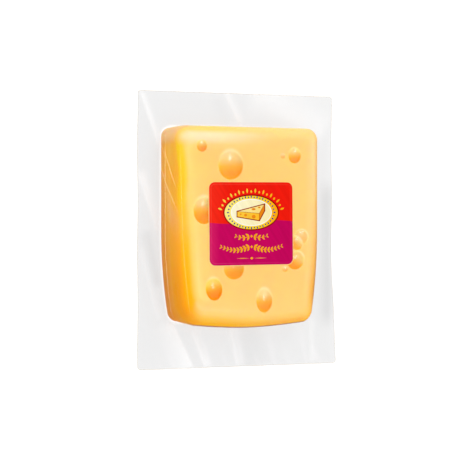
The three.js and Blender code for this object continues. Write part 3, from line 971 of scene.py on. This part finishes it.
LABEL_CENTRE = (LABEL_LOW[:2] + LABEL_HIGH[:2]) / 2 + (0.05, 0.2)
LABEL_HALF = (LABEL_HIGH[:2] - LABEL_LOW[:2]) / 2 + (0.0, 0.2)
LABEL_RADIUS = 3.6
LABEL_THICKNESS = 0.16
LABEL_FOOT = BLOCK_FRONT + 2 * CLEARANCE + FILM
LABEL_FACE = LABEL_FOOT + LABEL_THICKNESS

# The print, in millimetres from the label's centre.
LABEL_LEAN = math.radians(0.5)
PAPER_AND_GLOW_RIM = 0.28  # bare paper round the print, whose pale colour also paints a glow round the label
RULE_INSET, RULE_WIDTH = 1.15, 0.22  # a thin rule inside the edge
BAND_HEIGHT, BAND_SWELL = 0.9, 1.0  # where red meets magenta, and how far that line waves
MEDALLION = np.array((0.0, 6.5))
MEDALLION_RADII = np.array((16.7, 9.8))
WINDOW_RADII = np.array((12.4, 7.5))
MEDALLION_BORDER, WINDOW_BORDER = 0.8, 0.5
RAY_RADII = MEDALLION_RADII + 1.6
STUD_RADII = WINDOW_RADII + (1.5, 0.9)

# The medallion's picture: a wedge of cheese with its tip to the left.
WEDGE_CENTRE, WEDGE_SIZE = np.array((0.0, 7.7)), 0.92
WEDGE_TOP = np.array(((-9.6, -0.6), (5.4, -1.9), (9.0, 3.9)))  # its tip, near and far corners
WEDGE_DROPS = np.array((3.3, 4.5, 4.1))  # how far each of them stands above its foot
WEDGE_LINE, WEDGE_GAP = 0.5, 0.12
WEDGE_EYES = (
    ((-4.0, -3.0), (1.0, 0.9)), ((1.6, -4.0), (1.3, 1.2)), ((-7.3, -2.4), (0.6, 0.55)),
    ((1.5, 0.8), (1.4, 0.7)), ((5.4, 1.9), (0.9, 0.5)),
)

# Garlands to both sides of the middle: each one's height, how far it reaches and its sag.
SPRIGS = ((-7.4, 9.4, 0.9), (-13.6, 18.6, 1.9))
SPRIG_GAP, SPRIG_STEPS = 1.5, 48
STEM_TIP, LEAF_TIP = 0.35, 0.6  # the share of its size that a stem or a leaf has at the tip
RULE_HEIGHT = -20.3
# Small lozenges, by their half width and half height, and the two bars beside the lowest one.
SPRIG_LOZENGE, RULE_LOZENGE, BAR_PLACE, BAR_LOZENGE = (0.8, 0.9), (1.1, 0.8), 5.6, (4.0, 0.22)
RAISED_INK = 0.08
CORNER_POINTS, OVAL_POINTS, SMALL_OVAL_POINTS, WAVE_POINTS = 10, 72, 20, 60
RAY_POINTS, STUD_POINTS = 80, 120
PAST_EDGE = 2.0  # how far the lower ground's shape runs past the label
RAY_ARC = (8, 172)  # degrees over which the rays stand


def inside_shape(points, shape):
    """Which points lie inside a closed shape, by counting the edges to their right."""
    x, y = points.T
    x0, y0 = shape.T
    x1, y1 = np.roll(shape, -1, axis=0).T
    crosses = (y0[None] > y[:, None]) != (y1[None] > y[:, None])
    rise = np.where(y1 == y0, 1, y1 - y0)
    at = x0[None] + (y[:, None] - y0[None]) * ((x1 - x0) / rise)[None]
    return ((x[:, None] < at) & crosses).sum(axis=1) % 2 == 1


def arc(centre, radii, start, stop, count):
    turn = np.radians(np.linspace(start, stop, count))
    return np.asarray(centre) + np.column_stack((radii[0] * np.cos(turn), radii[1] * np.sin(turn)))


def oval(centre, radii, count=OVAL_POINTS):
    return arc(centre, radii, 0, 360, count + 1)[:-1]


def lozenge(x, y, half_width, half_height):
    return np.array(((x + half_width, y), (x, y + half_height), (x - half_width, y),
                     (x, y - half_height)))


def rounded_plate(inset):
    """The label's own outline, drawn in by inset."""
    radius = LABEL_RADIUS - inset
    reach = LABEL_HALF - inset - radius
    corners = ((1, 1, 0), (-1, 1, 90), (-1, -1, 180), (1, -1, 270))
    return np.concatenate([
        arc(reach * (x, y), (radius, radius), start, start + 90, CORNER_POINTS)
        for x, y, start in corners])


def offset_shape(shape, by):
    """An anticlockwise shape grown by a distance, with its corners left sharp."""
    run = np.roll(shape, -1, axis=0) - shape
    run = run / np.linalg.norm(run, axis=1)[:, None]
    out = np.column_stack((run[:, 1], -run[:, 0]))
    before = np.roll(out, 1, axis=0)
    return shape + by * (out + before) / (1 + (out * before).sum(axis=1))[:, None]


def wedge_picture():
    """The wedge's fields: a dark outline, its three faces and its eyes."""
    tip, near, far = WEDGE_TOP
    tip_foot, near_foot, far_foot = WEDGE_TOP - np.column_stack((np.zeros(3), WEDGE_DROPS))
    outline = np.array((tip, tip_foot, near_foot, far_foot, far))
    fields = [(offset_shape(outline, WEDGE_LINE), "dark_red")]
    for ink, face in (("gold", (tip, tip_foot, near_foot, near)),
                      ("amber", (near, near_foot, far_foot, far)),
                      ("pale_gold", (tip, near, far))):
        fields.append((offset_shape(np.array(face), -WEDGE_GAP), ink))
    fields += [(oval(*eye, SMALL_OVAL_POINTS), "amber") for eye in WEDGE_EYES]
    return [((WEDGE_CENTRE + WEDGE_SIZE * shape,), ink) for shape, ink in fields]


def label_print():
    """The printed fields, from the ground up: the shapes that all hold a field, and its ink."""
    wide, tall = LABEL_HALF + PAST_EDGE
    wave = np.linspace(-wide, wide, WAVE_POINTS)
    swell = BAND_HEIGHT + BAND_SWELL * np.sin(wave / wide * math.pi)
    lower = np.concatenate((np.column_stack((wave, swell)), [(wide, -tall), (-wide, -tall)]))
    ground = rounded_plate(0)
    rule, field = rounded_plate(RULE_INSET), rounded_plate(RULE_INSET + RULE_WIDTH)
    fields = [
        ((rounded_plate(-PAPER_AND_GLOW_RIM),), "paper"),
        ((ground,), "red"), ((ground, lower), "magenta"),
        ((rule,), "red_rule"), ((rule, lower), "magenta_rule"),
        ((field,), "red"), ((field, lower), "magenta"),
        ((oval(MEDALLION, MEDALLION_RADII + MEDALLION_BORDER),), "dark_red"),
        ((oval(MEDALLION, MEDALLION_RADII),), "yellow"),
        ((oval(MEDALLION, WINDOW_RADII + WINDOW_BORDER),), "white"),
        ((oval(MEDALLION, WINDOW_RADII),), "cream"),
    ]
    fields += wedge_picture()
    small = [(0, y, SPRIG_LOZENGE) for y, _, _ in SPRIGS] + [(0, RULE_HEIGHT, RULE_LOZENGE)]
    small += [(side * BAR_PLACE, RULE_HEIGHT, BAR_LOZENGE) for side in (-1, 1)]
    return fields + [((lozenge(x, y, *half),), "orange") for x, y, half in small]


def lay_on_label(thing):
    """Moves a mesh from the label's own middle to its place on the label's face."""
    lift = Matrix.Translation(Vector((*LABEL_CENTRE, LABEL_FACE)) * MM)
    thing.data.transform(lift @ Matrix.Rotation(LABEL_LEAN, 4, "Z"))
    return thing


def make_label(inks):
    """The sheet of paper, its upper face cut along every printed line and inked."""
    fields = label_print()
    outlines = [shape for shapes, _ in fields for shape in shapes]
    corners, edges = [], []
    for shape in outlines:
        start = len(corners)
        corners += [Vector(point) for point in shape]
        edges += [(start + i, start + (i + 1) % len(shape)) for i in range(len(shape))]
    points, _, faces, _, _, _ = delaunay_2d_cdt(corners, edges, [], KEEP_INSIDE, SAME_POINT)
    flat = np.array([tuple(point) for point in points])
    middles = np.array([flat[list(face)].mean(axis=0) for face in faces])
    order = list(dict.fromkeys(ink for _, ink in fields))
    ink_of = np.full(len(faces), -1)
    for shapes, ink in fields:
        held = np.all([inside_shape(middles, shape) for shape in shapes], axis=0)
        ink_of[held] = order.index(ink)
    kept = [tuple(face) for face, ink in zip(faces, ink_of) if ink >= 0]
    mesh = bpy.data.meshes.new("label_sheet")
    mesh.from_pydata((ring(flat, 0) * MM).tolist(), [], kept)
    for ink in order:
        mesh.materials.append(inks[ink])
    mesh.polygons.foreach_set("material_index", ink_of[ink_of >= 0])
    thing = link(bpy.data.objects.new("label_sheet", mesh))
    wall = thing.modifiers.new("thickness", "SOLIDIFY")
    wall.thickness = LABEL_THICKNESS * MM
    wall.offset = -1
    keep_evaluated(thing)
    for face in thing.data.polygons:
        if face.normal.z < 0.5:
            face.material_index = order.index("paper")
    thing.visible_shadow = False  # thin paper, pale underneath: the cheese behind it still glows
    return lay_on_label(thing)


def add_leaf(tree):
    """Adds a pointed leaf, one long and one across, with its foot at nought."""
    ball = add(tree, "GeometryNodeMeshUVSphere", {"Segments": 8, "Rings": 8, "Radius": 0.5})
    point = add(tree, "GeometryNodeInputPosition")
    level = add(tree, "ShaderNodeVectorMath", {0: point, 1: (1, 1, 0)}, operation="MULTIPLY")
    girth = add(tree, "ShaderNodeVectorMath", {0: level}, operation="LENGTH").outputs["Value"]
    slim = add(tree, "ShaderNodeMath", {0: girth, 1: 2.0}, operation="MULTIPLY")
    pinch = add(tree, "ShaderNodeCombineXYZ", {0: slim, 1: slim, 2: 1.0})
    pinched = add(tree, "ShaderNodeVectorMath", {0: point, 1: pinch}, operation="MULTIPLY")
    leaf = add(tree, "GeometryNodeSetPosition", {"Geometry": ball, "Position": pinched})
    return add(tree, "GeometryNodeTransform", {
        "Geometry": leaf, "Translation": (0.5, 0, 0), "Rotation": (0, math.pi / 2, 0)})


def add_every_other(tree, first, second):
    """Adds a number that is first and second by turns along a path."""
    odd = add(tree, "ShaderNodeMath", {0: add(tree, "GeometryNodeInputIndex"), 1: 2.0},
              operation="MODULO")
    return add(tree, "ShaderNodeMapRange", {"Value": odd, "To Min": first, "To Max": second})


def ray_tree():
    """Pointed rays along a path, long and short by turns, out to the path's right."""
    tree, given = new_tree("printed_rays", Count="Int", Length="Float", Short="Float",
                           Width="Float", Height="Float", Finish="Material")
    path = add(tree, "GeometryNodeMeshToCurve", {"Mesh": given["Geometry"]})
    curve = add(tree, "GeometryNodeResampleCurve", {"Curve": path, "Count": given["Count"]})
    tangent = add(tree, "GeometryNodeInputTangent")
    turn = add(tree, "FunctionNodeAlignRotationToVector", {"Vector": tangent}, axis="Y")
    long = add_every_other(tree, given["Length"], given["Short"])
    scale = add(tree, "ShaderNodeCombineXYZ", {0: long, 1: given["Width"], 2: given["Height"]})
    rays = add(tree, "GeometryNodeInstanceOnPoints", {
        "Points": curve, "Instance": add_leaf(tree), "Rotation": turn, "Scale": scale})
    finish_tree(tree, rays, given["Finish"])
    return tree


def sprig_tree():
    """A thinning stem along each path, with pairs of leaves that lean out to both sides."""
    tree, given = new_tree("printed_sprig", Pitch="Float", Leaf_Length="Float",
                           Leaf_Width="Float", Lean="Float", Stem="Float", Height="Float",
                           Finish="Material")
    curve = add(tree, "GeometryNodeMeshToCurve", {"Mesh": given["Geometry"]})
    factor = add(tree, "GeometryNodeSplineParameter")
    thin, shrink = (
        add(tree, "ShaderNodeMapRange", {"Value": factor, "To Min": 1.0, "To Max": left})
        for left in (STEM_TIP, LEAF_TIP))
    half = add(tree, "ShaderNodeMath", {0: given["Stem"], 1: 0.5}, operation="MULTIPLY")
    profile = add(tree, "GeometryNodeCurvePrimitiveCircle", {"Resolution": 8, "Radius": half})
    stem = add(tree, "GeometryNodeCurveToMesh", {
        "Curve": curve, "Profile Curve": profile, "Scale": thin, "Fill Caps": True})
    flatness = add(tree, "ShaderNodeMath", {0: given["Height"], 1: given["Stem"]},
                   operation="DIVIDE")
    press = add(tree, "ShaderNodeCombineXYZ", {0: 1.0, 1: 1.0, 2: flatness})
    pressed = add(tree, "GeometryNodeTransform", {"Geometry": stem, "Scale": press})
    points = add(tree, "GeometryNodeResampleCurve", {"Curve": curve, "Length": given["Pitch"]},
                 mode="LENGTH")
    tangent = add(tree, "GeometryNodeInputTangent")
    along = add(tree, "FunctionNodeAlignRotationToVector", {"Vector": tangent}, axis="X")
    whole = add(tree, "ShaderNodeCombineXYZ",
                {0: given["Leaf Length"], 1: given["Leaf Width"], 2: given["Height"]})
    scale = add(tree, "ShaderNodeVectorMath", {0: whole, "Scale": shrink}, operation="SCALE")
    both = add(tree, "GeometryNodeJoinGeometry", {"Geometry": pressed})
    for side in (1.0, -1.0):
        lean = add(tree, "ShaderNodeMath", {0: given["Lean"], 1: side}, operation="MULTIPLY")
        upright = add(tree, "ShaderNodeCombineXYZ", {2: lean})
        swing = add(tree, "FunctionNodeEulerToRotation", {"Euler": upright})
        turn = add(tree, "FunctionNodeRotateRotation", {"Rotation": along, "Rotate By": swing},
                   rotation_space="LOCAL")
        leaves = add(tree, "GeometryNodeInstanceOnPoints", {
            "Points": points, "Instance": add_leaf(tree), "Rotation": turn, "Scale": scale})
        tree.links.new(leaves.outputs[0], both.inputs["Geometry"])
    finish_tree(tree, both, given["Finish"])
    return tree


def sprig_paths():
    """The stems, from the label's middle outwards. They lie at nought, where they are pressed
    flat, and are lifted to the label afterwards."""
    paths = []
    for y, reach, sag in SPRIGS:
        share = np.linspace(0, 1, SPRIG_STEPS)
        rise = y - sag * np.sin(math.pi * share)
        for side in (-1, 1):
            x = side * (SPRIG_GAP + (reach - SPRIG_GAP) * share)
            paths.append((np.column_stack((x, rise, np.zeros(len(share)))), False))
    return paths


def label_ornaments(inks):
    """Raised ink on the label: rays over the medallion, studs round its window, and sprigs."""
    rays, raised = ray_tree(), RAISED_INK * MM
    over = arc(MEDALLION, RAY_RADII, *RAY_ARC, RAY_POINTS)
    around = oval(MEDALLION, STUD_RADII, STUD_POINTS)
    crown = grow("label_rays", [(ring(over, 0), False)], rays, Count=19, Length=2.9 * MM,
                 Short=1.7 * MM, Width=1.25 * MM, Height=raised, Finish=inks["gold"])
    studs = grow("label_studs", [(ring(around, 0), True)], rays, Count=40, Length=1.5 * MM,
                 Short=1.1 * MM, Width=0.85 * MM, Height=raised, Finish=inks["blue"])
    sprigs = grow("label_sprigs", sprig_paths(), sprig_tree(), Pitch=2.1 * MM,
                  Leaf_Length=2.7 * MM, Leaf_Width=1.3 * MM, Lean=math.radians(48),
                  Stem=0.45 * MM, Height=raised, Finish=inks["orange"])
    return [lay_on_label(thing) for thing in (crown, studs, sprigs)]


STREAK_SLANT = math.radians(-58)
STREAK_WIDTH, STREAK_LENGTH = 2.0, 12.0  # in millimetres, and as a share of that width
FIBRE_PITCH = 1.111  # coarser than a real fibre, so that it shows


def printed(name, *stops, roughness=0.35):
    """Offset ink on coated paper: a satin gloss, the sheet's faint fibre, and faint slanting
    streaks where less ink was laid. Its stops run from the label's left edge to its right."""
    material, tree = new_material(name)
    place = add(tree, "ShaderNodeTexCoord").outputs["Object"]
    across = add(tree, "ShaderNodeMapRange", {
        "Value": add(tree, "ShaderNodeSeparateXYZ", {0: place}),
        "From Min": LABEL_LOW[0] * MM, "From Max": LABEL_HIGH[0] * MM})
    ink = add(tree, "ShaderNodeValToRGB", {"Fac": across}, stops=stops)
    slant = add(tree, "ShaderNodeMapping", {
        "Vector": place, "Rotation": (0, 0, STREAK_SLANT), "Scale": (STREAK_LENGTH, 1, 1)},
        vector_type="TEXTURE")
    streaks = add(tree, "ShaderNodeTexNoise",
                  {"Vector": slant, "Scale": 1 / (STREAK_WIDTH * MM), "Detail": 2.0})
    laid = add(tree, "ShaderNodeMapRange", {
        "Value": streaks, "From Min": 0.35, "From Max": 0.65, "To Min": 0.93, "To Max": 1.03})
    shade = add(tree, "ShaderNodeMix", {0: 1.0, MIX_A: ink, MIX_B: laid},
                data_type="RGBA", blend_type="MULTIPLY")
    fibre = add(tree, "ShaderNodeTexNoise",
                {"Vector": place, "Scale": 1 / (FIBRE_PITCH * MM), "Detail": 3.0})
    grain = add(tree, "ShaderNodeBump", {"Height": fibre, "Strength": 0.05, "Distance": 0.05 * MM})
    shader = add(tree, "ShaderNodeBsdfPrincipled", {
        "Base Color": shade, "Roughness": roughness, "Specular IOR Level": 0.02, "Normal": grain})
    finish_material(tree, shader)
    return material


def label_inks():
    return {
        # The red and the magenta are lighter at the label's left edge: a painted sheen.
        "red": printed("red_ink", (0.0, "#D92514"), (0.25, "#D31507"), (1.0, "#D21406")),
        "red_rule": printed("pale_red_ink", (0.0, "#DC4632"), (1.0, "#D83420")),
        "magenta": printed("magenta_ink", (0.0, "#C01A58"), (0.12, "#B00250"), (1.0, "#AA004C")),
        "magenta_rule": printed("pale_magenta_ink", (0.0, "#BE3466"), (1.0, "#B01458")),
        "dark_red": printed("dark_red_ink", (0.0, "#8C0A0A"), (1.0, "#7A0606")),
        "yellow": printed("yellow_ink", (0.17, "#E0D276"), (0.45, "#DDC020"), (0.66, "#DDB208"),
                          (0.84, "#DD8804")),
        "white": printed("white_ink", (0.0, "#DEDEDA"), (1.0, "#DADAD6")),
        "cream": printed("cream_ink", (0.25, "#E0DAB8"), (0.75, "#DDCF98")),
        "gold": printed("gold_ink", (0.2, "#E0B83C"), (0.8, "#DD9A08")),
        "amber": printed("amber_ink", (0.3, "#D5821A"), (0.7, "#CC7008")),
        "pale_gold": printed("pale_gold_ink", (0.3, "#DFCE88"), (0.7, "#DDC064")),
        "blue": printed("blue_ink", (0.0, "#04288C"), (1.0, "#001E7C")),
        "orange": printed("orange_ink", (0.0, "#DE9C14"), (1.0, "#DD9002")),
        # The paper's pale colour also paints a glow round the label's edge.
        "paper": printed("label_paper_and_glow", (0.0, "#ECD28A"), (1.0, "#EACE84"), roughness=0.5),
    }


# --- The studio -----------------------------------------------------------------------------

SKY = 1.0
# Each soft light: the way it lies from the pack, its side in metres, its radiance, and
# whether glossy surfaces mirror it.
SOFTBOXES = {
    "key": ((0.3, 0.62, 0.72), 0.5, 6.0, False),
    "low_fill": ((0.34, -0.30, 0.865), 0.22, 12.0, True),
}
FLOOR_GLOW = 1.07  # a light table's share of the floor's light
SOFTBOX_DISTANCE, FLOOR_REACH = 1.2, 2.5  # metres


def make_floor():
    """A plain pale studio floor, lit softly from below as a light table is."""
    mesh = bpy.data.meshes.new("studio_floor")
    corners = [(x * FLOOR_REACH, y * FLOOR_REACH, 0) for x, y in ((-1, -1), (1, -1), (1, 1), (-1, 1))]
    mesh.from_pydata(corners, [], [(0, 1, 2, 3)])
    floor = link(bpy.data.objects.new("studio_floor", mesh))
    material, tree = new_material("studio_white")
    finish_material(tree, add(tree, "ShaderNodeBsdfPrincipled", {
        "Base Color": linear("#5A5A5A"), "Roughness": 0.9, "Specular IOR Level": 0.2,
        "Emission Color": linear("#FFFFFF"), "Emission Strength": FLOOR_GLOW}))
    mesh.materials.append(material)


def set_light():
    world = bpy.data.worlds.new("studio")
    bpy.context.scene.world = world
    world.use_nodes = True
    sky = world.node_tree.nodes["Background"].inputs
    sky["Color"].default_value = linear("#FFFFFF")
    sky["Strength"].default_value = SKY
    for name, (towards, size, radiance, mirrored) in SOFTBOXES.items():
        data = bpy.data.lights.new(name, "AREA")
        data.shape = "SQUARE"
        data.size = size
        data.energy = radiance * math.pi * size ** 2
        light = link(bpy.data.objects.new(name, data))
        direction = Vector(towards).normalized()
        light.location = direction * SOFTBOX_DISTANCE
        light.visible_glossy = mirrored
        light.rotation_mode = "QUATERNION"
        light.rotation_quaternion = direction.to_track_quat("Z", "Y")
    bpy.context.scene.view_settings.view_transform = "Standard"


# --- The pack -------------------------------------------------------------------------------


def place(piece, node, slot):
    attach(piece, "root")
    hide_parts(node)


set_camera()
set_light()
make_floor()

place(make_cheese(cheese_paste()), "cheese", "cheese")
place(make_film(pouch_film()), "pouch", "film")

bead = bead_tree()
sharp, soft = white_crease("sharp_crease", "#606C60"), white_crease("soft_crease", "#6C6650")
for name, paths, width, creased in (
        ("film_creases", crease_paths(), CREASE_WIDTH, sharp),
        ("front_crease", front_crease_paths(), FRONT_CREASE_WIDTH, soft)):
    crease = grow(name, paths, bead, Width=width * MM, Taper=CREASE_TAPER, Sides=8, Finish=creased)
    place(crease, "pouch", "film")
edge_path = pouch_outline()
edge_line = ring(edge_path, margin_height(edge_path, FAR, 1))
edge = grow("film_edge", [(edge_line, True)], bead, Width=CUT_EDGE_WIDTH * MM, Taper=NO_TAPER,
            Sides=6, Finish=cut_edge())
place(edge, "pouch", "film")

inks = label_inks()
for piece in (make_label(inks), *label_ornaments(inks)):
    place(piece, "label", "label")
